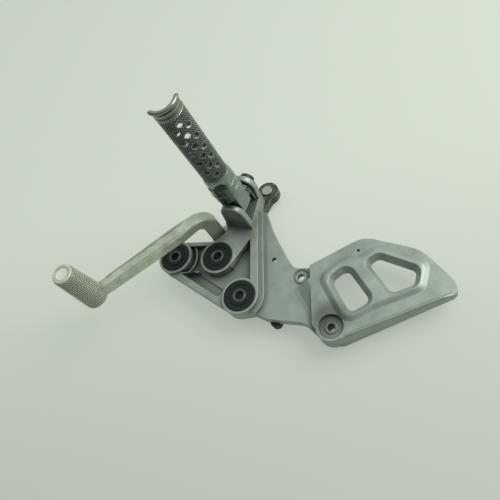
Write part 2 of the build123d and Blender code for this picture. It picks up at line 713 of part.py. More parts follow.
# Boss at the arm's end, and the peg with its dished end
with BuildPart() as toe:
    with BuildSketch(level(ARM_TOP_Z - ARM_THICK)):
        with Locations(TOE_POINT):
            Circle(TOE_BOSS_R)
    extrude(amount=ARM_THICK)
    fillet(toe.edges(), radius=ARM_ROUND)
    with BuildSketch(level(TOE_BACK_Z)):
        with Locations(TOE_POINT):
            Circle(TOE_R)
    extrude(amount=TOE_FRONT_Z - TOE_BACK_Z)
    fillet(toe.faces().sort_by(Axis.Z)[-1].edges(), radius=TOE_ROUND)
    with BuildSketch(level(TOE_FRONT_Z - TOE_DISH)):
        with Locations(TOE_POINT):
            Circle(TOE_DISH_R)
    extrude(amount=TOE_DISH, mode=Mode.SUBTRACT)

with BuildPart() as brake_pedal:
    add(short_arm.part)
    add(long_arm.part)
    add(toe.part)
    for web_end, web_r in ((SHORT_ARM_POINT, REAR_ARM_R), (PUSHROD_POINT, REAR_ARM_R)):
        with BuildSketch(level(PEDAL_BACK_Z)):
            with Locations(PIVOT_POINT, web_end):
                Circle(web_r)
            make_hull()
        extrude(amount=PEDAL_FRONT_Z - PEDAL_BACK_Z)
    with BuildSketch(level(PEDAL_BACK_Z)):
        with Locations(PIVOT_POINT):
            Circle(PIVOT_BOSS_R)
        with Locations(PUSHROD_POINT):
            Circle(PUSHROD_BOSS_R)
    extrude(amount=PEDAL_FRONT_Z - PEDAL_BACK_Z)
    # Recess along the rear arm, with a raised rim round it
    with BuildSketch(level(PEDAL_FRONT_Z - REAR_RECESS)):
        with Locations(PIVOT_POINT, PUSHROD_POINT):
            Circle(REAR_ARM_R - REAR_RIM)
        make_hull()
        with Locations(PIVOT_POINT):
            Circle(PIVOT_BOSS_R, mode=Mode.SUBTRACT)
        with Locations(PUSHROD_POINT):
            Circle(PUSHROD_BOSS_R, mode=Mode.SUBTRACT)
    extrude(amount=REAR_RECESS, mode=Mode.SUBTRACT)
    with BuildSketch(level(PEDAL_BACK_Z)):
        with Locations(PIVOT_POINT):
            Circle(SHOULDER_R + PIVOT_RUNNING + PIVOT_BUSH_WALL)
        with Locations(PUSHROD_POINT):
            Circle(ROD_PIN_R)
    extrude(amount=PEDAL_FRONT_Z - PEDAL_BACK_Z, mode=Mode.SUBTRACT)
brake_pedal.part.label = "brake_pedal"

# Pedal pivot: bush in the pedal, shoulder bolt from behind, washer under its head
with BuildPart() as pedal_pivot_bush:
    with BuildSketch(level(PEDAL_BACK_Z)):
        with Locations(PIVOT_POINT):
            Circle(SHOULDER_R + PIVOT_RUNNING + PIVOT_BUSH_WALL)
            Circle(SHOULDER_R + PIVOT_RUNNING, mode=Mode.SUBTRACT)
    extrude(amount=PEDAL_FRONT_Z - PEDAL_BACK_Z)
pedal_pivot_bush.part.label = "pedal_pivot_bush"

head_top = PEDAL_BACK_Z - 2 * SEAT_GAP - ROD_WASHER_THICK
with BuildPart() as pedal_pivot_bolt:
    with BuildSketch(level(head_top)):
        with Locations(PIVOT_POINT):
            Circle(SHOULDER_R)
    extrude(amount=DECK_BACK_Z - head_top)
    with BuildSketch(level(DECK_BACK_Z)):
        with Locations(PIVOT_POINT):
            Circle(PIVOT_THREAD_R)
    extrude(amount=PIVOT_THREAD)
    with BuildSketch(level(head_top)):
        with Locations(PIVOT_POINT):
            RegularPolygon(PIVOT_HEAD_R, 6)
    extrude(amount=-PIVOT_HEAD)
pedal_pivot_bolt.part.label = "pedal_pivot_bolt"

with BuildPart() as pedal_pivot_washer:
    with BuildSketch(level(head_top)):
        with Locations(PIVOT_POINT):
            Circle(PIVOT_BOSS_R - 0.5)
            Circle(SHOULDER_R, mode=Mode.SUBTRACT)
    extrude(amount=ROD_WASHER_THICK)
pedal_pivot_washer.part.label = "pedal_pivot_washer"

# Clevis pin of the pushrod, its washer and split pin
split_dir = Vector(cos(radians(SPLIT_ANGLE)), sin(radians(SPLIT_ANGLE)), 0)
split_plane = Plane(origin=(*PUSHROD_POINT, SPLIT_Z), z_dir=split_dir)
with BuildPart() as pushrod_pin:
    with BuildSketch(level(PEDAL_FRONT_Z)):
        with Locations(PUSHROD_POINT):
            Circle(ROD_HEAD_R)
    extrude(amount=ROD_HEAD)
    with BuildSketch(level(PEDAL_BACK_Z - ROD_TAIL)):
        with Locations(PUSHROD_POINT):
            Circle(ROD_PIN_R)
    extrude(amount=PEDAL_FRONT_Z - PEDAL_BACK_Z + ROD_TAIL)
    with BuildSketch(split_plane):
        Circle(SPLIT_R)
    extrude(amount=2 * ROD_PIN_R, both=True, mode=Mode.SUBTRACT)
pushrod_pin.part.label = "pushrod_pin"

with BuildPart() as pushrod_pin_washer:
    with BuildSketch(level(PEDAL_BACK_Z)):
        with Locations(PUSHROD_POINT):
            Circle(ROD_WASHER_R)
            Circle(ROD_PIN_R, mode=Mode.SUBTRACT)
    extrude(amount=-ROD_WASHER_THICK)
pushrod_pin_washer.part.label = "pushrod_pin_washer"

with BuildPart() as split_pin:
    with BuildSketch(split_plane):
        Circle(SPLIT_R)
    extrude(amount=SPLIT_REACH, both=True)
    eye_point = split_plane.origin - split_dir * (SPLIT_REACH + SPLIT_EYE_R)
    with BuildSketch(Plane(origin=eye_point)):
        Circle(SPLIT_EYE_R + SPLIT_R)
        Circle(SPLIT_EYE_R - SPLIT_R, mode=Mode.SUBTRACT)
    extrude(amount=SPLIT_R, both=True)
split_pin.part.label = "split_pin"

# Rubber buffer behind the plate
with BuildPart() as back_buffer:
    with BuildSketch(level(BUFFER_BACK_Z)):
        with Locations(BUFFER_POINT):
            Circle(BUFFER_R)
    extrude(amount=PLATE_FLANGE_Z - BUFFER_BACK_Z)
back_buffer.part.label = "back_buffer"

os.makedirs("parts", exist_ok=True)
export_step(hanger.part, "parts/hanger.step")
for place in bushes:
    export_step(rubbers[place].part, "parts/" + place + "_bush_rubber.step")
    export_step(sleeves[place].part, "parts/" + place + "_bush_sleeve.step")
export_step(footrest_shank.part, "parts/footrest_shank.step")
export_step(footrest_tube.part, "parts/footrest_tube.step")
export_step(footrest_end_lip.part, "parts/footrest_end_lip.step")
export_step(footrest_hinge_pin.part, "parts/footrest_hinge_pin.step")
export_step(hinge_pin_washer.part, "parts/hinge_pin_washer.step")
export_step(footrest_return_spring.part, "parts/footrest_return_spring.step")
export_step(brake_pedal.part, "parts/brake_pedal.step")
export_step(pedal_pivot_bush.part, "parts/pedal_pivot_bush.step")
export_step(pedal_pivot_bolt.part, "parts/pedal_pivot_bolt.step")
export_step(pedal_pivot_washer.part, "parts/pedal_pivot_washer.step")
export_step(pushrod_pin.part, "parts/pushrod_pin.step")
export_step(pushrod_pin_washer.part, "parts/pushrod_pin_washer.step")
export_step(split_pin.part, "parts/split_pin.step")
export_step(back_buffer.part, "parts/back_buffer.step")
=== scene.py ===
import json
import logging
from dataclasses import dataclass
from enum import Enum
from itertools import product
from math import atan2, cos, hypot, pi, radians, sin

import bmesh
import bpy
from mathutils import Matrix, Vector


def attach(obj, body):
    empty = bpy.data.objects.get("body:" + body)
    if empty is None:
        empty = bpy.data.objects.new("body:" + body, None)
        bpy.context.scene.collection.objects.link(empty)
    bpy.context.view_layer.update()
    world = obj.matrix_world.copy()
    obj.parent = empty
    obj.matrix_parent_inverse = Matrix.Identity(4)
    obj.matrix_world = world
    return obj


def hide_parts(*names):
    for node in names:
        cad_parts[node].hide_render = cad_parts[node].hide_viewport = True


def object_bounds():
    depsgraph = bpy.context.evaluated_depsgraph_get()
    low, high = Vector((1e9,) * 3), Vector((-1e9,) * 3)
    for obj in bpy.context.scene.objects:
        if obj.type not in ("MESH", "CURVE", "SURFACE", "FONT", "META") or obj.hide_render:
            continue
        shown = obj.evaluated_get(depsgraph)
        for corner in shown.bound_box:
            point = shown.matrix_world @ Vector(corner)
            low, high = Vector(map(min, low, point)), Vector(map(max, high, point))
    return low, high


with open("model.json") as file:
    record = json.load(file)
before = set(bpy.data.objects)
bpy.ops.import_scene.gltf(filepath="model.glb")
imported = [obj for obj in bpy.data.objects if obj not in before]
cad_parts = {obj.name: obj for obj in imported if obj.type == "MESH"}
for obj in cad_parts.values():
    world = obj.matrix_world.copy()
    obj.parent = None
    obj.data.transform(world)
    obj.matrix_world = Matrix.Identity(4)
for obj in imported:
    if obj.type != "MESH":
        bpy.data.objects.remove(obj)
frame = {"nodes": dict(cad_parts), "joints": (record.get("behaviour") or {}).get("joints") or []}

Pair = tuple[float, float]
Triple = tuple[float, float, float]

LOG = logging.getLogger("footrest_hanger")
MM = 0.001
NEAR_MM = 1e-3
MERGE_M = 1e-7
GROOVE = "groove"
REAR_EYE = (0.0473, 0.0722, 0.002)
LOWER_BOSS = (0.101, -0.075, 0.017)
CAD_BOUNDS = [list(corner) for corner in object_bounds()]


def mm(*values: float) -> Vector:
    """Turns a point in millimetres into metres.

    Args:
        values: The three coordinates.

    Returns:
        The point in metres.
    """
    return Vector(values) * MM


def from_point(radius: float, height: float, offsets: tuple[Pair, ...]) -> list[Pair]:
    """Places part of a section by its offsets from one point.

    Args:
        radius: The point's radius.
        height: The point's height.
        offsets: How far outwards and upwards each corner lies from the point.

    Returns:
        The corners' radii and heights.
    """
    return [(radius + out, height + rise) for out, rise in offsets]


def opaque(colour: Triple, share: float = 1.0) -> tuple[float, ...]:
    """Gives a colour its alpha.

    Args:
        colour: Red, green and blue.
        share: How bright the result is against the colour.

    Returns:
        Red, green, blue and an alpha of 1.
    """
    return (*(min(1.0, part * share) for part in colour), 1.0)


class Place(Enum):
    """Bodies of the hanger that pieces ride on."""

    HANGER = "hanger"
    FOOTREST = "footrest"
    PEDAL = "pedal"


class KnurlPattern(Enum):
    """How a knurl's grooves cross, with its mesh rows in one pitch as shares of that pitch."""

    SQUARE = (0.0, 0.26, 0.74)
    DIAMOND = (0.0, 0.5)


class Graph:
    """Adds and links the nodes of one node tree."""

    MIX_INPUTS = (0, 6, 7)
    MIX_RESULT = 2

    def __init__(self, tree: bpy.types.NodeTree) -> None:
        """Keeps the tree and clears it.

        Args:
            tree: The tree to fill.
        """
        self.tree = tree
        tree.nodes.clear()

    def feed(self, socket: bpy.types.NodeSocket, value: object) -> None:
        """Sets an input, or links it where the value is another node's output.

        Args:
            socket: The input.
            value: A number, a vector, a colour or an output.
        """
        if isinstance(value, bpy.types.NodeSocket):
            self.tree.links.new(value, socket)
        else:
            socket.default_value = value

    def add(
        self, kind: str, inputs: dict | None = None, **settings: object
    ) -> bpy.types.Node:
        """Makes a node.

        Args:
            kind: The node's type name, without its ShaderNode prefix unless it has another.
            inputs: Socket name or number to a value or to another node's output.
            settings: Attributes set on the node before its inputs.

        Returns:
            The new node.
        """
        node = self.tree.nodes.new(kind if kind.startswith("Node") else "ShaderNode" + kind)
        for name, value in settings.items():
            setattr(node, name, value)
        for name, value in (inputs or {}).items():
            self.feed(node.inputs[name], value)
        return node

    def place(self) -> bpy.types.NodeSocket:
        """Object coordinates, in metres."""
        return self.add("TexCoord").outputs["Object"]

    def noise(
        self, place: bpy.types.NodeSocket, scale: object, detail: float, roughness: float = 0.5
    ) -> bpy.types.NodeSocket:
        """Makes a Noise Texture node.

        Args:
            place: Where the noise is read.
            scale: How fine it is.
            detail: How many finer layers it has.
            roughness: How strong those layers are.

        Returns:
            Its factor.
        """
        inputs = {"Vector": place, "Scale": scale, "Detail": detail, "Roughness": roughness}
        return self.add("TexNoise", inputs).outputs[0]

    def math(self, operation: str, *values: object, clamp: bool = False) -> bpy.types.NodeSocket:
        """Makes a Math node.

        Args:
            operation: The operation's name.
            values: Numbers or outputs, one for each input.
            clamp: Whether the result is kept between 0 and 1.

        Returns:
            The node's output.
        """
        inputs = dict(enumerate(values))
        return self.add("Math", inputs, operation=operation, use_clamp=clamp).outputs[0]

    def measure(self, operation: str, first: object, second: object) -> bpy.types.NodeSocket:
        """Makes a Vector Math node that gives one number.

        Args:
            operation: The operation's name.
            first: The first vector.
            second: The second vector.

        Returns:
            The number.
        """
        node = self.add("VectorMath", {0: first, 1: second}, operation=operation)
        return node.outputs["Value"]

    def remap(
        self, value: object, source: Pair, target: Pair = (0.0, 1.0), smooth: bool = False
    ) -> bpy.types.NodeSocket:
        """Maps one range to another, without passing its ends.

        Args:
            value: The value to map.
            source: The range that it comes in.
            target: The range that it goes to.
            smooth: Whether the ends ease in and out.

        Returns:
            The mapped value.
        """
        return self.add("MapRange", {
            "Value": value, "From Min": source[0], "From Max": source[1],
            "To Min": target[0], "To Max": target[1],
        }, interpolation_type="SMOOTHSTEP" if smooth else "LINEAR").outputs[0]

    def mix(self, factor: object, first: object, second: object) -> bpy.types.NodeSocket:
        """Mixes two colours.

        Args:
            factor: How much of the second colour shows.
            first: The colour at 0.
            second: The colour at 1.

        Returns:
            The mixed colour.
        """
        node = self.add("Mix", data_type="RGBA")
        for number, value in zip(self.MIX_INPUTS, (factor, first, second)):
            self.feed(node.inputs[number], value)
        return node.outputs[self.MIX_RESULT]


@dataclass(frozen=True)
class SurfaceGroup:
    """The group that every finish shares: grain, blotches, scuffed edges with painted edge
    highlights, and painted recess shade.
    """

    grain_detail: float = 3.0
    blotch_detail: float = 5.0
    blotch_roughness: float = 0.62
    break_scale: float = 260.0
    break_detail: float = 4.0
    break_gain: float = 1.6
    break_base: float = 0.1
    recess_shade_base: float = 0.35
    samples: int = 6

    def sockets(self, tree: bpy.types.NodeTree) -> None:
        """Adds the group's inputs and outputs.

        Args:
            tree: The group.
        """
        floats = {
            "Grain Scale": 900.0, "Blotch Scale": 45.0, "Edge Radius": 0.0006,
            "Edge Gain": 6.0, "Recess Shade Reach": 0.006, "Recess Shade Gain": 1.0,
        }
        sockets = tree.interface
        for name, value in floats.items():
            socket = sockets.new_socket(name, in_out="INPUT", socket_type="NodeSocketFloat")
            socket.default_value = value
        for name in ("Grain", "Blotch", "Scuffs And Highlights", "Recess Shade"):
            sockets.new_socket(name, in_out="OUTPUT", socket_type="NodeSocketFloat")
        sockets.new_socket("Soft Normal", in_out="OUTPUT", socket_type="NodeSocketVector")

    def build(self) -> bpy.types.NodeTree:
        """Builds the group.

        Returns:
            The shader node group.
        """
        tree = bpy.data.node_groups.new("metal_and_rubber_surface", "ShaderNodeTree")
        self.sockets(tree)
        graph = Graph(tree)
        given = graph.add("NodeGroupInput").outputs
        place = graph.place()
        grain = graph.noise(place, given["Grain Scale"], self.grain_detail)
        blotch = graph.noise(
            place, given["Blotch Scale"], self.blotch_detail, self.blotch_roughness
        )
        breaks = graph.noise(place, self.break_scale, self.break_detail)
        soft = graph.add("Bevel", {"Radius": given["Edge Radius"]}, samples=self.samples).outputs[0]
        flat = graph.add("NewGeometry").outputs["Normal"]
        # Lighter edges from the bevel: scuffs on most finishes, a painted edge highlight on the
        # bush sleeves.
        turn = graph.math("SUBTRACT", 1.0, graph.measure("DOT_PRODUCT", soft, flat))
        edge = graph.math("MULTIPLY", turn, given["Edge Gain"], clamp=True)
        patches = graph.math("MULTIPLY_ADD", breaks, self.break_gain, self.break_base, clamp=True)
        scuffs_and_highlights = graph.math("MULTIPLY", edge, patches, clamp=True)
        # Painted shade: darker in recesses and corners that ambient occlusion finds, broken up by
        # blotches.
        near = graph.add(
            "AmbientOcclusion", {"Distance": given["Recess Shade Reach"]}, samples=self.samples
        ).outputs["AO"]
        shut = graph.math("SUBTRACT", 1.0, near)
        shut = graph.math("MULTIPLY", shut, given["Recess Shade Gain"], clamp=True)
        uneven = graph.math("ADD", blotch, self.recess_shade_base)
        recess_shade = graph.math("MULTIPLY", shut, uneven, clamp=True)
        graph.add("NodeGroupOutput", {
            "Grain": grain, "Blotch": blotch, "Scuffs And Highlights": scuffs_and_highlights, "Recess Shade": recess_shade, "Soft Normal": soft,
        })
        return tree


@dataclass(frozen=True)
class Finish:
    """One finish, with its colours and how its surface varies."""

    name: str
    colour: Triple
    dark: Triple
    # Light edge colour: scuffs, and a painted edge highlight on the bush sleeves.
    scuff_and_highlight: Triple
    metallic: float
    roughness: float
    rough_spread: float = 0.16
    rough_range: Pair = (0.25, 0.75)
    rough_least: float = 0.02
    rough_recess_shade: float = 0.15
    tone_spread: float = 0.14
    tone_range: Pair = (0.3, 0.7)
    grain_scale: float = 900.0
    grain_depth: float = 0.00004
    grain_strength: float = 0.35
    blotch_scale: float = 45.0
    edge_radius: float = 0.0006
    edge_gain: float = 5.0
    scuff_and_highlight_amount: float = 0.6
    # Painted shade in recesses: how far it looks and how strong it is.
    recess_shade_reach: float = 0.006
    recess_shade_gain: float = 1.0
    specular: float = 0.5
    # Painted shade in the knurl grooves.
    groove_shade: float = 0.0
    groove_range: Pair = (0.25, 0.7)
    # A darker patch round one point: painted shade on the pedal's rear arm.
    dark_patch_centre: Triple = (0.0, 0.0, 0.0)
    dark_patch_reach: float = 0.0
    dark_patch_tone: float = 0.6
    dark_patch_core: float = 0.35
    dark_patch_base: float = 0.5

    def material(self, group: bpy.types.NodeTree) -> bpy.types.Material:
        """Makes the material.

        Args:
            group: The shared surface group.

        Returns:
            The finished material.
        """
        material = bpy.data.materials.new(self.name)
        material.use_nodes = True
        graph = Graph(material.node_tree)
        surface = graph.add("Group", {
            "Grain Scale": self.grain_scale, "Blotch Scale": self.blotch_scale,
            "Edge Radius": self.edge_radius, "Edge Gain": self.edge_gain,
            "Recess Shade Reach": self.recess_shade_reach, "Recess Shade Gain": self.recess_shade_gain,
        }, node_tree=group).outputs
        bump = graph.add("Bump", {
            "Height": surface["Grain"], "Strength": self.grain_strength,
            "Distance": self.grain_depth, "Normal": surface["Soft Normal"],
        })
        shader = graph.add("BsdfPrincipled", {
            "Base Color": self.tint(graph, surface), "Roughness": self.rough(graph, surface),
            "Metallic": self.metallic, "Specular IOR Level": self.specular,
            "Normal": bump.outputs[0],
        })
        graph.add("OutputMaterial", {"Surface": shader.outputs[0]})
        return material

    def tint(self, graph: Graph, surface: bpy.types.NodeOutputs) -> bpy.types.NodeSocket:
        """Adds the colour: blotches, painted recess shade, a dark patch, scuffed edges with painted
        edge highlights and painted shade in knurl grooves.

        Args:
            graph: The material's graph.
            surface: Outputs of the shared group.

        Returns:
            The colour.
        """
        low = opaque(self.colour, 1.0 - self.tone_spread)
        high = opaque(self.colour, 1.0 + self.tone_spread)
        dark = opaque(self.dark)
        colour = graph.mix(graph.remap(surface["Blotch"], self.tone_range), low, high)
        # Painted shade in recesses and corners.
        colour = graph.mix(surface["Recess Shade"], colour, dark)
        # Darker patch round one point: painted shade on the pedal's rear arm, a darker patch round
        # the hanger's lower boss.
        if self.dark_patch_reach:
            colour = graph.mix(self.dark_patch(graph, surface["Blotch"]), colour, dark)
        # Lighter edges: scuffs, and a painted highlight on the bush sleeves.
        scuff_and_highlight = graph.math("MULTIPLY", surface["Scuffs And Highlights"], self.scuff_and_highlight_amount)
        colour = graph.mix(scuff_and_highlight, colour, opaque(self.scuff_and_highlight))
        # Painted shade in the knurl grooves.
        if self.groove_shade:
            groove = graph.add("Attribute", attribute_name=GROOVE).outputs["Fac"]
            depth = graph.remap(groove, self.groove_range, (0.0, self.groove_shade))
            colour = graph.mix(depth, colour, dark)
        return colour

    def rough(self, graph: Graph, surface: bpy.types.NodeOutputs) -> bpy.types.NodeSocket:
        """Adds the roughness, which follows the blotches and rises where the painted recess shade
        falls.

        Args:
            graph: The material's graph.
            surface: Outputs of the shared group.

        Returns:
            The roughness.
        """
        least = max(self.rough_least, self.roughness - self.rough_spread / 2)
        most = min(1.0, self.roughness + self.rough_spread / 2)
        even = graph.remap(surface["Blotch"], self.rough_range, (least, most))
        recess_shade = graph.math("MULTIPLY", surface["Recess Shade"], self.rough_recess_shade)
        return graph.math("ADD", even, recess_shade, clamp=True)

    def dark_patch(self, graph: Graph, blotch: bpy.types.NodeSocket) -> bpy.types.NodeSocket:
        """Adds the mask of a dark patch that fades out round one point: painted shade on the
        pedal's rear arm, a darker patch round the hanger's lower boss.

        Args:
            graph: The material's graph.
            blotch: Broad noise that breaks the patch up.

        Returns:
            The mask.
        """
        far = graph.measure("DISTANCE", graph.place(), self.dark_patch_centre)
        fade = (self.dark_patch_core * self.dark_patch_reach, self.dark_patch_reach)
        near = graph.remap(far, fade, (self.dark_patch_tone, 0.0), smooth=True)
        uneven = graph.math("ADD", blotch, self.dark_patch_base)
        return graph.math("MULTIPLY", near, uneven, clamp=True)


# Cast hanger: a darker patch round the lower boss.
CAST = Finish(
    "die_cast_aluminium", (0.32, 0.375, 0.33), (0.026, 0.036, 0.032), (0.5, 0.55, 0.48),
    metallic=0.5, roughness=0.44, grain_scale=1100.0, grain_strength=0.3, edge_radius=0.0011,
    edge_gain=3.0, scuff_and_highlight_amount=0.4, recess_shade_reach=0.018, recess_shade_gain=1.35, tone_spread=0.2,
    dark_patch_centre=LOWER_BOSS, dark_patch_reach=0.021, dark_patch_tone=0.6,
)
# Forged pedal: the dark patch round the rear arm's eye is painted shade.
FORGED = Finish(
    "forged_pedal_aluminium", (0.56, 0.625, 0.51), (0.05, 0.06, 0.042), (0.62, 0.66, 0.54),
    metallic=0.4, roughness=0.42, grain_scale=700.0, blotch_scale=90.0, grain_strength=0.4,
    edge_radius=0.0011, edge_gain=3.0, scuff_and_highlight_amount=0.5, tone_spread=0.24,
    dark_patch_centre=REAR_EYE, dark_patch_reach=0.056, dark_patch_tone=0.95,
)
# Toe peg: painted shade in the knurl grooves.
PEG_KNURL = Finish(
    "knurled_toe_peg", (0.62, 0.65, 0.53), (0.045, 0.052, 0.036), (0.78, 0.8, 0.68),
    metallic=0.5, roughness=0.36, grain_strength=0.2, edge_radius=0.0001, scuff_and_highlight_amount=0.3,
    recess_shade_reach=0.0012, recess_shade_gain=0.8, groove_shade=0.8,
)
POLISHED = Finish(
    "turned_aluminium", (0.25, 0.305, 0.26), (0.014, 0.02, 0.017), (0.66, 0.72, 0.66),
    metallic=0.9, roughness=0.17, rough_spread=0.12, grain_scale=1600.0, grain_strength=0.12,
    edge_radius=0.0005, scuff_and_highlight_amount=0.5, recess_shade_gain=0.9,
)
LIP_METAL = Finish(
    "bright_lip_metal", (0.28, 0.31, 0.265), (0.02, 0.028, 0.022), (0.8, 0.84, 0.76),
    metallic=0.85, roughness=0.24, rough_spread=0.12, grain_scale=1600.0, grain_strength=0.12,
    edge_radius=0.0004, scuff_and_highlight_amount=0.4, recess_shade_reach=0.004, recess_shade_gain=1.6,
)
# Grip tube: painted shade in the knurl grooves.
KNURLED = Finish(
    "knurled_grip_metal", (0.46, 0.53, 0.465), (0.02, 0.028, 0.023), (0.6, 0.66, 0.6),
    metallic=0.7, roughness=0.34, grain_scale=1800.0, grain_strength=0.2, edge_radius=0.0001,
    edge_gain=2.0, scuff_and_highlight_amount=0.3, recess_shade_reach=0.0012, recess_shade_gain=0.8, groove_shade=0.94,
)
BRIGHT_FACE = Finish(
    "bright_turned_face", (0.82, 0.86, 0.74), (0.2, 0.23, 0.18), (0.85, 0.88, 0.8),
    metallic=0.5, roughness=0.3, grain_strength=0.1, edge_radius=0.0003, scuff_and_highlight_amount=0.3,
)
RUBBER = Finish(
    "bush_rubber", (0.0035, 0.012, 0.011), (0.002, 0.004, 0.004), (0.035, 0.048, 0.044),
    metallic=0.0, roughness=0.5, tone_spread=0.3, grain_scale=1500.0, grain_strength=0.25,
    scuff_and_highlight_amount=0.3, recess_shade_gain=0.5, specular=0.35,
)
BUFFER = Finish(
    "buffer_rubber", (0.035, 0.042, 0.038), (0.012, 0.015, 0.013), (0.08, 0.09, 0.08),
    metallic=0.0, roughness=0.55, grain_scale=1500.0, grain_strength=0.25, specular=0.35,
)
# Bush sleeves: the light edge colour is a painted highlight round the sleeves' rims.
SLEEVE = Finish(
    "sleeve_zinc", (0.03, 0.04, 0.036), (0.008, 0.012, 0.011), (0.5, 0.58, 0.52),
    metallic=0.6, roughness=0.4, scuff_and_highlight_amount=1.0, edge_gain=14.0, recess_shade_gain=0.4,
)
PIN_STEEL = Finish(
    "blackened_pin_steel", (0.035, 0.042, 0.034), (0.012, 0.015, 0.011), (0.2, 0.22, 0.19),
    metallic=0.6, roughness=0.42, tone_spread=0.3, blotch_scale=160.0, scuff_and_highlight_amount=0.5,
)
ROD_PIN = Finish(
    "plated_clevis_pin", (0.4, 0.44, 0.36), (0.06, 0.07, 0.05), (0.6, 0.64, 0.55),
    metallic=0.7, roughness=0.36, blotch_scale=160.0, scuff_and_highlight_amount=0.5,
)
WIRE = Finish(
    "spring_wire", (0.36, 0.4, 0.36), (0.035, 0.042, 0.035), (0.55, 0.6, 0.55),
    metallic=0.9, roughness=0.32, grain_scale=2200.0, edge_radius=0.0002, blotch_scale=200.0,
)
BRONZE = Finish(
    "bearing_bronze", (0.42, 0.3, 0.16), (0.08, 0.05, 0.03), (0.6, 0.46, 0.28),
    metallic=0.9, roughness=0.35, edge_radius=0.0003,
)

NODE_FINISH = {
    "hanger": CAST,
    "front_bush_rubber": RUBBER, "middle_bush_rubber": RUBBER, "lower_bush_rubber": RUBBER,
    "front_bush_sleeve": SLEEVE, "middle_bush_sleeve": SLEEVE, "lower_bush_sleeve": SLEEVE,
    "footrest_shank": POLISHED, "footrest_tube": KNURLED, "footrest_end_lip": LIP_METAL,
    "footrest_hinge_pin": PIN_STEEL, "hinge_pin_washer": PIN_STEEL,
    "footrest_return_spring": WIRE, "brake_pedal": FORGED, "pedal_pivot_bush": BRONZE,
    "pedal_pivot_bolt": PIN_STEEL, "pedal_pivot_washer": PIN_STEEL, "pushrod_pin": ROD_PIN,
    "pushrod_pin_washer": PIN_STEEL, "split_pin": PIN_STEEL, "back_buffer": BUFFER,
}


class Workshop:
    """Makes each finish once and hands it out."""

    def __init__(self) -> None:
        """Builds the shared group."""
        self.group = SurfaceGroup().build()
        self.made: dict[str, bpy.types.Material] = {}

    def finish(self, finish: Finish) -> bpy.types.Material:
        """Gives a finish's material.

        Args:
            finish: The finish wanted.

        Returns:
            The material, made on first use.
        """
        if finish.name not in self.made:
            self.made[finish.name] = finish.material(self.group)
        return self.made[finish.name]

    def dress(self, piece: bpy.types.Object, finish: Finish) -> None:
        """Gives a piece one finish.

        Args:
            piece: The object to dress.
            finish: Its finish.
        """
        piece.data.materials.clear()
        piece.data.materials.append(self.finish(finish))


def new_piece(name: str, mesh: bmesh.types.BMesh, matrix: Matrix) -> bpy.types.Object:
    """Turns a bmesh into an object whose place is in its mesh.

    Args:
        name: The object's name.
        mesh: The bmesh, which is freed.
        matrix: Where the bmesh's own axes lie in the row frame.

    Returns:
        The new object.
    """
    bmesh.ops.transform(mesh, matrix=matrix, verts=mesh.verts)
    data = bpy.data.meshes.new(name)
    mesh.to_mesh(data)
    mesh.free()
    piece = bpy.data.objects.new(name, data)
    bpy.context.scene.collection.objects.link(piece)
    return piece


def spun(profile: list[Pair], steps: int) -> bmesh.types.BMesh:
    """Spins a closed profile of radius and height round Z.

    Args:
        profile: Radius and height pairs in millimetres, in order round the section.
        steps: How many steps make the full turn.

    Returns:
        The closed shape, in metres.
    """
    mesh = bmesh.new()
    points = [mesh.verts.new(mm(radius, 0, height)) for radius, height in profile]
    edges = [mesh.edges.new((points[i - 1], points[i])) for i in range(len(points))]
    bmesh.ops.spin(
        mesh, geom=points + edges, cent=(0, 0, 0), axis=(0, 0, 1), dvec=(0, 0, 0),
        angle=2 * pi, steps=steps, use_merge=True, use_duplicate=False,
    )
    bmesh.ops.remove_doubles(mesh, verts=mesh.verts, dist=MERGE_M)
    bmesh.ops.recalc_face_normals(mesh, faces=mesh.faces)
    return mesh


def swept(outline: list[Vector], sweep: Vector) -> bmesh.types.BMesh:
    """Extrudes a flat outline into a closed body.

    Args:
        outline: The corners in order, in metres.
        sweep: How far the outline is moved, in metres.

    Returns:
        The closed body.
    """
    mesh = bmesh.new()
    face = mesh.faces.new([mesh.verts.new(corner) for corner in outline])
    parts = bmesh.ops.extrude_face_region(mesh, geom=[face])["geom"]
    far = [part for part in parts if isinstance(part, bmesh.types.BMVert)]
    bmesh.ops.translate(mesh, verts=far, vec=sweep)
    bmesh.ops.recalc_face_normals(mesh, faces=mesh.faces)
    return mesh


def cut_away(piece: bpy.types.Object, cutter: bpy.types.Object) -> None:
    """Takes a cutter's bodies out of a piece and removes the cutter.

    Args:
        piece: The piece, whose mesh is replaced.
        cutter: Closed bodies that share the piece's place.
    """
    cut = piece.modifiers.new("cut", "BOOLEAN")
    cut.operation, cut.solver, cut.object = "DIFFERENCE", "EXACT", cutter
    bpy.context.view_layer.update()
    graph = bpy.context.evaluated_depsgraph_get()
    result = bpy.data.meshes.new_from_object(piece.evaluated_get(graph))
    piece.modifiers.clear()
    old, piece.data = piece.data, result
    bpy.data.meshes.remove(old)
    bpy.data.objects.remove(cutter)
    result.name = piece.name


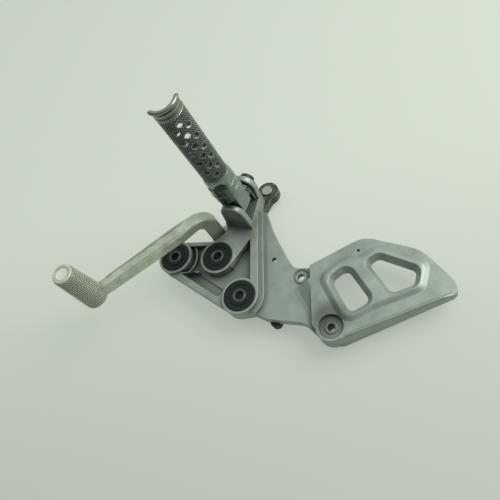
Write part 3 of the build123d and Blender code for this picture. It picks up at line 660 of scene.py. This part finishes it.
@dataclass(frozen=True)
class Knurl:
    """Rows of small studs rolled into a round grip, with sizes in millimetres."""

    pattern: KnurlPattern
    pitch: float
    count: int
    start: float
    end: float
    depth: float
    radius: float
    end_radius: float

    def crest(self, height: float) -> float:
        """Radius of the studs' tops at a height, in millimetres."""
        share = (height - self.start) / (self.end - self.start)
        return self.radius + (self.end_radius - self.radius) * share

    def rows(self) -> list[float]:
        """Spaces whole pitches over the knurl's length.

        Returns:
            Heights of the mesh rows, in millimetres.
        """
        total = round((self.end - self.start) / self.pitch)
        pitch = (self.end - self.start) / total
        marks = product(range(total), self.pattern.value)
        return [self.start + pitch * (row + part) for row, part in marks] + [self.end]

    def steps(self) -> int:
        """How many steps the grip is spun in."""
        return self.count * len(self.pattern.value)

    def carve(self, mesh: bmesh.types.BMesh) -> None:
        """Pushes the grooves in and marks them for the finish.

        Args:
            mesh: A shape spun with this knurl's rows and steps.
        """
        mark = mesh.verts.layers.float.new(GROOVE)
        rows, parts = self.rows(), self.pattern.value
        lowest, highest = rows[0] - NEAR_MM, rows[-1] + NEAR_MM
        grooves = []
        for vert in mesh.verts:
            height = vert.co.z / MM
            crest = self.crest(height)
            away = abs(hypot(vert.co.x, vert.co.y) / MM - crest)
            if away > NEAR_MM or not lowest < height < highest:
                continue
            step = round(atan2(vert.co.y, vert.co.x) / (2 * pi) * self.steps()) % self.steps()
            row = min(range(len(rows)), key=lambda number: abs(rows[number] - height))
            if self.pattern is KnurlPattern.DIAMOND:
                low = (row + step) % 2 == 1
            else:
                low = row % len(parts) == 0 or step % len(parts) == 0
            share = parts[step % len(parts)]
            angle = 2 * pi * (step // len(parts) + share) / self.count
            radius = (crest - self.depth * low) * MM
            vert.co.x, vert.co.y = radius * cos(angle), radius * sin(angle)
            vert[mark] = float(low)
            if low:
                grooves.append(vert)
        if self.pattern is KnurlPattern.DIAMOND:
            bmesh.ops.connect_verts(mesh, verts=grooves)


@dataclass
class FootrestGrip:
    """The footrest's drilled and knurled tube, its flared lip and the bead on its collar.

    Sizes are in millimetres and heights are measured along the footrest from its pin. The
    sections are offsets from a wall's end, or for the bead from the collar's surface.
    """

    joint: dict
    lean: float = 2.4
    up_angle: float = -67.0
    radius: float = 12.1
    bore: float = 9.5
    thin_bore: float = 10.9
    thin_from: float = 86.0
    thin_step: float = 1.0
    start: float = 48.6
    end: float = 126.8
    edge: float = 0.5
    hole_radius: float = 2.75
    hole_first: float = 57.2
    hole_pitch: float = 12.45
    hole_rows: int = 6
    hole_spread: float = 30.0
    hole_turn: float = 8.0
    drill_inside: float = 3.0
    drill_outside: float = 1.5
    drill_segments: int = 28
    end_fall: float = 0.73
    slope_reach: float = 22.0
    slope_edge: tuple[Pair, ...] = ((0.0, 0.4), (2.6, 6.0), (3.9, 9.0), (4.2, 20.0))
    lip_neck: tuple[Pair, ...] = ((-1.5, -6.0), (0.0, -6.0), (0.0, 0.0))
    lip_rim: tuple[Pair, ...] = (
        (0.0, 0.0), (0.0, 1.6), (-0.9, 2.3), (-0.9, 3.4), (0.0, 4.1), (0.1, 6.9),
        (-0.9, 7.4), (0.5, 7.9), (1.5, 8.8), (1.8, 9.9), (1.4, 10.9), (0.4, 11.5),
        (-0.9, 11.5), (-1.9, 10.8), (-2.2, 9.8), (-1.8, 8.8), (-2.2, 5.0),
    )
    lip_foot: tuple[Pair, ...] = ((-1.5, -1.0),)
    lip_steps: int = 120
    collar_radius: float = 13.6
    bead_height: float = 29.0
    bead_section: tuple[Pair, ...] = (
        (-0.5, -0.9), (0.1, -0.8), (0.45, -0.3), (0.45, 0.3), (0.1, 0.8), (-0.5, 0.9),
    )
    bead_steps: int = 96
    knurl: Knurl = Knurl(
        KnurlPattern.DIAMOND, pitch=1.9, count=40, start=50.0, end=125.6, depth=0.5,
        radius=12.1, end_radius=12.1,
    )

    def matrix(self) -> Matrix:
        """Finds the local axes: Z along the footrest, X towards the side under the boot.

        Returns:
            Where those axes lie in the row frame.
        """
        pin = Vector(self.joint["axis"])
        fold = pin.cross(Vector((0, 0, 1)))
        lean, up_angle = radians(self.lean), radians(self.up_angle)
        along = Vector((0, 0, 1)) * cos(lean) - fold * sin(lean)
        flat = Vector((cos(up_angle), sin(up_angle), 0))
        upper = (flat - along * flat.dot(along)).normalized()
        turn = Matrix((upper, along.cross(upper), along)).transposed()
        return Matrix.Translation(Vector(self.joint["pos_m"])) @ turn.to_4x4()

    def drills(self) -> bmesh.types.BMesh:
        """Makes the cutters of every hole, from the bore outwards.

        Returns:
            One mesh of separate rods.
        """
        mesh = bmesh.new()
        inner, outer = self.bore - self.drill_inside, self.radius + self.drill_outside
        outwards = Matrix.Rotation(pi / 2, 4, "Y")
        for wall, side in product((0, 1), (-1, 0, 1)):
            angle = radians(self.hole_turn + side * self.hole_spread + 180.0 * wall)
            stagger = (wall + abs(side)) % 2
            for row in range(self.hole_rows - max(stagger, wall)):
                height = self.hole_first + self.hole_pitch * (row + 0.5 * stagger)
                middle = Matrix.Translation(mm((inner + outer) / 2, 0, height))
                bmesh.ops.create_cone(
                    mesh, cap_ends=True, segments=self.drill_segments,
                    radius1=self.hole_radius * MM, radius2=self.hole_radius * MM,
                    depth=(outer - inner) * MM,
                    matrix=Matrix.Rotation(angle, 4, "Z") @ middle @ outwards,
                )
        return mesh

    def end_slope(self) -> bmesh.types.BMesh:
        """Makes the cutter that slopes the lower half of the end down, away from the boot.

        Returns:
            A closed wedge.
        """
        reach = self.slope_reach
        edge = from_point(0.0, self.end, self.slope_edge)
        outline = [(-reach, edge[0][1] - reach * self.end_fall), *edge, (-reach, edge[-1][1])]
        return swept([mm(x, -reach, z) for x, z in outline], mm(0, 2 * reach, 0))

    def build(self, shop: Workshop) -> bpy.types.Object:
        """Builds the tube and lets it stand for its CAD node.

        Args:
            shop: Where finishes come from.

        Returns:
            The finished tube.
        """
        profile = [
            (self.thin_bore, self.end), (self.thin_bore, self.thin_from),
            (self.bore, self.thin_from - self.thin_step), (self.bore, self.start),
            (self.radius - self.edge, self.start), (self.radius, self.start + self.edge),
            *((self.radius, height) for height in self.knurl.rows()),
            (self.radius, self.end - self.edge), (self.radius - self.edge, self.end),
        ]
        mesh = spun(profile, self.knurl.steps())
        self.knurl.carve(mesh)
        tube = new_piece("footrest_knurled_tube", mesh, self.matrix())
        cut_away(tube, new_piece("drills", self.drills(), self.matrix()))
        cut_away(tube, new_piece("slope", self.end_slope(), self.matrix()))
        shop.dress(tube, KNURLED)
        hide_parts("footrest_tube")
        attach(tube, Place.FOOTREST.value)
        return tube

    def lip(self, shop: Workshop) -> bpy.types.Object:
        """Builds the flared half ring that keeps the boot from sliding off.

        Args:
            shop: Where finishes come from.

        Returns:
            The finished lip.
        """
        profile = from_point(self.thin_bore, self.end, self.lip_neck)
        profile += from_point(self.radius, self.end, self.lip_rim)
        profile += from_point(self.thin_bore, self.end, self.lip_foot)
        mesh = spun(profile, self.lip_steps)
        lip = new_piece("footrest_flared_lip", mesh, self.matrix())
        cut_away(lip, new_piece("slope", self.end_slope(), self.matrix()))
        lip.data.shade_smooth()
        shop.dress(lip, LIP_METAL)
        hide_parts("footrest_end_lip")
        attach(lip, Place.FOOTREST.value)
        return lip

    def collar_bead(self, shop: Workshop) -> bpy.types.Object:
        """Builds the thin turned bead round the shank's collar.

        Args:
            shop: Where finishes come from.

        Returns:
            The finished bead.
        """
        profile = from_point(self.collar_radius, self.bead_height, self.bead_section)
        mesh = spun(profile, self.bead_steps)
        bead = new_piece("collar_turned_bead", mesh, self.matrix())
        bead.data.shade_smooth()
        shop.dress(bead, POLISHED)
        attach(bead, Place.FOOTREST.value)
        return bead


@dataclass
class ToePegGrip:
    """Knurled sleeve and bright end face of the pedal's toe peg, with sizes in millimetres."""

    centre: Pair = (-114.8, -33.0)
    start: float = 38.3
    end: float = 88.6
    base_radius: float = 12.35
    radius: float = 10.3
    depth: float = 0.38
    pitch: float = 2.4
    studs: int = 38
    end_level: float = 89.2
    end_radius: float = 6.5
    end_rim: tuple[Pair, ...] = ((0.0, -0.2), (0.0, 0.45), (-0.5, 0.6), (-1.6, 0.35))
    end_middle: Pair = (-0.2, 0.2)
    end_steps: int = 72

    def matrix(self) -> Matrix:
        """Where the peg's axis stands."""
        return Matrix.Translation(mm(*self.centre, 0))

    def sleeve(self, shop: Workshop) -> bpy.types.Object:
        """Builds the knurled sleeve, which widens towards the arm.

        Args:
            shop: Where finishes come from.

        Returns:
            The finished sleeve.
        """
        knurl = Knurl(
            KnurlPattern.SQUARE, pitch=self.pitch, count=self.studs,
            start=self.start + self.depth, end=self.end - self.depth, depth=self.depth,
            radius=self.base_radius, end_radius=self.radius,
        )
        inside = 2 * self.depth
        profile = [
            (self.radius - inside, self.end), (self.base_radius - inside, self.start),
            (self.base_radius - self.depth, self.start),
            *((knurl.crest(height), height) for height in knurl.rows()),
            (self.radius - self.depth, self.end),
        ]
        mesh = spun(profile, knurl.steps())
        knurl.carve(mesh)
        sleeve = new_piece("toe_peg_knurling", mesh, self.matrix())
        shop.dress(sleeve, PEG_KNURL)
        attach(sleeve, Place.PEDAL.value)
        return sleeve

    def end_face(self, shop: Workshop) -> bpy.types.Object:
        """Builds the bright, slightly hollow face that turning leaves on the peg's end.

        Args:
            shop: Where finishes come from.

        Returns:
            The finished face.
        """
        rim = from_point(self.end_radius, self.end_level, self.end_rim)
        low, high = (self.end_level + rise for rise in self.end_middle)
        mesh = spun([(0.0, low), *rim, (0.0, high)], self.end_steps)
        face = new_piece("toe_peg_end_face", mesh, self.matrix())
        shop.dress(face, BRIGHT_FACE)
        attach(face, Place.PEDAL.value)
        return face


@dataclass
class Ridges:
    """Straight raised lines that a die leaves on a flat face, with sizes in millimetres.

    The taper pairs a share of a line's length with its share of the full height. The sink is a
    share of the height, and the foot and the crest are half widths as shares of the width.
    """

    name: str
    lines: tuple[tuple[Pair, Pair], ...]
    top: float
    width: float
    height: float
    place: Place
    finish: Finish
    slot: str
    taper: tuple[Pair, ...] = ((0.0, 0.05), (0.09, 1.0), (0.91, 1.0), (1.0, 0.05))
    foot: float = 0.5
    crest: float = 0.2
    sink: float = 0.3

    def section(self, rise: float) -> tuple[Pair, ...]:
        """Gives the section at one place along a line.

        Args:
            rise: Its share of the full height.

        Returns:
            Shifts sideways and levels, as shares of the width and the height.
        """
        half = ((-self.foot, -self.sink), (-self.foot, 0.0), (-self.crest, rise))
        return (*half, *((-shift, level) for shift, level in reversed(half)))

    def build(self, shop: Workshop) -> bpy.types.Object:
        """Builds the ridges as one piece.

        Args:
            shop: Where finishes come from.

        Returns:
            The finished ridges.
        """
        mesh = bmesh.new()
        for first, last in self.lines:
            along = (Vector(last) - Vector(first)).normalized()
            across = Vector((-along.y, along.x)) * self.width
            last_loop = []
            for share, rise in self.taper:
                middle = Vector(first).lerp(Vector(last), share)
                ring = []
                for shift, level in self.section(rise):
                    point = middle + across * shift
                    height = self.top + level * self.height
                    ring.append(mesh.verts.new(mm(point.x, point.y, height)))
                loop = [mesh.edges.new((ring[i - 1], ring[i])) for i in range(len(ring))]
                if last_loop:
                    bmesh.ops.bridge_loops(mesh, edges=last_loop + loop)
                if share in (0.0, 1.0):
                    mesh.faces.new(ring)
                last_loop = loop
        bmesh.ops.recalc_face_normals(mesh, faces=mesh.faces)
        ridges = new_piece(self.name, mesh, Matrix())
        shop.dress(ridges, self.finish)
        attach(ridges, self.place.value)
        return ridges


ARM_RIDGES = Ridges(
    "arm_forging_ridges",
    lines=(((-22.0, 25.5), (-100.4, -19.3)), ((-20.0, 15.2), (-102.6, -31.0))),
    top=48.0, width=1.4, height=0.8,
    place=Place.PEDAL, finish=FORGED, slot="forged_aluminium",
)
GUARD_RIDGE = Ridges(
    "guard_edge_ridge",
    lines=(((199.0, -69.0), (112.0, -92.7)),),
    top=15.0, width=2.6, height=1.2,
    place=Place.HANGER, finish=CAST, slot="cast_aluminium",
)


@dataclass
class PocketWeb:
    """Thin cast skin that closes the deep pocket along the hanger's lower rim."""

    outline: tuple[Pair, ...] = (
        (-39.6, -9.6), (-25.7, -9.4), (-18.3, -13.0), (6.5, -33.1), (0.6, -41.9),
    )
    level: float = 4.2
    thickness: float = 2.0

    def build(self, shop: Workshop) -> bpy.types.Object:
        """Builds the skin, whose rim is hidden in the pocket's walls.

        Args:
            shop: Where finishes come from.

        Returns:
            The finished skin.
        """
        corners = [mm(x, y, self.level) for x, y in self.outline]
        mesh = swept(corners, mm(0, 0, self.thickness))
        web = new_piece("lower_pocket_web", mesh, Matrix())
        shop.dress(web, CAST)
        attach(web, Place.HANGER.value)
        return web


def seen_directly(graph: Graph) -> bpy.types.NodeSocket:
    """Adds the mask of rays from the camera, also by way of a mirror or glass.

    Args:
        graph: The graph of a floor or world.

    Returns:
        The mask, 1 where the ray is such a one.
    """
    path = graph.add("LightPath").outputs
    seen = graph.math("ADD", path["Is Camera Ray"], path["Is Glossy Ray"])
    return graph.math("ADD", seen, path["Is Transmission Ray"], clamp=True)


@dataclass
class Studio:
    """Camera, floor, world and lamp. The eye and the lamp's aim are in millimetres."""

    eye: Triple = (174.3, -228.1, 399.9)
    right: Triple = (0.938, 0.0, -0.346)
    up: Triple = (0.168, 0.874, 0.456)
    lens: float = 36.15
    sensor: float = 36.0
    shift_y: float = 0.003
    clip_start: float = 0.01
    floor_half: float = 3.0
    floor_gap: float = 0.0005
    floor_colour: Triple = (0.67, 0.735, 0.65)
    floor_glow: Triple = (0.655, 0.72, 0.63)
    floor_roughness: float = 0.7
    floor_specular: float = 0.2
    glow_share: float = 0.66
    contact_reach: float = 0.03
    contact_shade: float = 0.16
    contact_samples: int = 8
    near_shade: float = 0.8
    near_to_far: Pair = (-0.26, 0.14)
    sky_colour: Triple = (0.93, 1.0, 0.96)
    sky_towards: Triple = (0.25, 0.62, 0.74)
    sky_range: Pair = (-0.2, 0.95)
    sky_levels: Pair = (0.1, 0.74)
    key_power: float = 8.4
    key_colour: Triple = (1.0, 0.97, 0.91)
    key_towards: Triple = (0.66, 0.2, 0.72)
    key_aim: Triple = (50.0, 0.0, 20.0)
    key_size: float = 0.7
    key_distance: float = 1.1

    def axes(self) -> tuple[Vector, Vector, Vector]:
        """Squares up the camera's directions.

        Returns:
            Its right, up and back.
        """
        right = Vector(self.right).normalized()
        back = right.cross(Vector(self.up)).normalized()
        return right, back.cross(right), back

    def camera(self) -> None:
        """Places the camera where the photograph was taken."""
        data = bpy.data.cameras.new("camera")
        data.lens, data.sensor_width, data.shift_y = self.lens, self.sensor, self.shift_y
        data.clip_start = self.clip_start
        camera = bpy.data.objects.new("camera", data)
        turn = Matrix(self.axes()).transposed().to_4x4()
        camera.matrix_world = Matrix.Translation(mm(*self.eye)) @ turn
        bpy.context.scene.collection.objects.link(camera)
        bpy.context.scene.camera = camera

    def floor(self) -> None:
        """Lays the pale floor just under the lowest point, darker towards the near side."""
        mesh = bmesh.new()
        bmesh.ops.create_grid(mesh, x_segments=1, y_segments=1, size=self.floor_half)
        level = CAD_BOUNDS[0][2] - self.floor_gap
        floor = new_piece("floor", mesh, Matrix.Translation((0, 0, level)))
        material = bpy.data.materials.new("pale_floor")
        material.use_nodes = True
        graph = Graph(material.node_tree)
        depth = graph.add("SeparateXYZ", {0: graph.place()}).outputs["Y"]
        tone = graph.remap(depth, self.near_to_far, smooth=True)
        colour, glow = (
            graph.mix(tone, opaque(pale, self.near_shade), opaque(pale))
            for pale in (self.floor_colour, self.floor_glow)
        )
        matt = graph.add("BsdfPrincipled", {
            "Base Color": colour, "Roughness": self.floor_roughness,
            "Specular IOR Level": self.floor_specular,
        }).outputs[0]
        shown = graph.add("Emission", {"Color": glow, "Strength": 1.0}).outputs[0]
        open_sky = graph.add(
            "AmbientOcclusion", {"Distance": self.contact_reach}, samples=self.contact_samples
        ).outputs["AO"]
        contact = self.contact_shade
        shade = graph.math("MULTIPLY_ADD", open_sky, contact, 1.0 - contact)
        share = graph.math("MULTIPLY", seen_directly(graph), self.glow_share)
        share = graph.math("MULTIPLY", share, shade)
        lit = graph.add("MixShader", {0: share, 1: matt, 2: shown})
        graph.add("OutputMaterial", {"Surface": lit.outputs[0]})
        floor.data.materials.append(material)

    def world(self) -> None:
        """Sets a plain world that lights the object softly, most from the far side above."""
        world = bpy.data.worlds.new("studio")
        bpy.context.scene.world = world
        world.use_nodes = True
        graph = Graph(world.node_tree)
        towards = graph.add("TexCoord").outputs["Generated"]
        side = graph.measure("DOT_PRODUCT", towards, self.sky_towards)
        sky = graph.remap(side, self.sky_range, self.sky_levels, smooth=True)
        camera = graph.add("LightPath").outputs["Is Camera Ray"]
        level = graph.math("MAXIMUM", sky, camera)
        back = graph.add("Background", {"Color": opaque(self.sky_colour), "Strength": level})
        graph.add("OutputWorld", {"Surface": back.outputs[0]})

    def key_lamp(self) -> None:
        """Adds one soft square lamp aimed at the hanger."""
        data = bpy.data.lights.new("key", "AREA")
        data.energy, data.size, data.color = self.key_power, self.key_size, self.key_colour
        lamp = bpy.data.objects.new("key", data)
        away = Vector(self.key_towards).normalized()
        turn = away.to_track_quat("Z", "Y").to_matrix().to_4x4()
        place = mm(*self.key_aim) + away * self.key_distance
        lamp.matrix_world = Matrix.Translation(place) @ turn
        bpy.context.scene.collection.objects.link(lamp)

    def build(self) -> None:
        """Sets the whole studio up."""
        self.camera()
        self.floor()
        self.world()
        self.key_lamp()
        bpy.context.scene.view_settings.view_transform = "Standard"


def main() -> None:
    """Builds the studio, dresses the CAD nodes and adds the detailed pieces."""
    logging.basicConfig(level=logging.INFO, format="%(name)s: %(message)s")
    Studio().build()
    shop = Workshop()
    for name, finish in NODE_FINISH.items():
        shop.dress(frame["nodes"][name], finish)
        LOG.info("dressed %s as %s", name, finish.name)
    joints = {joint["name"]: joint for joint in frame["joints"]}
    grip, peg = FootrestGrip(joints["footrest_fold"]), ToePegGrip()
    pieces = [grip.build(shop), grip.lip(shop), grip.collar_bead(shop)]
    pieces += [peg.sleeve(shop), peg.end_face(shop)]
    pieces += [ARM_RIDGES.build(shop), GUARD_RIDGE.build(shop), PocketWeb().build(shop)]
    for piece in pieces:
        LOG.info("built %s with %d faces", piece.name, len(piece.data.polygons))


if __name__ == "__main__":
    main()
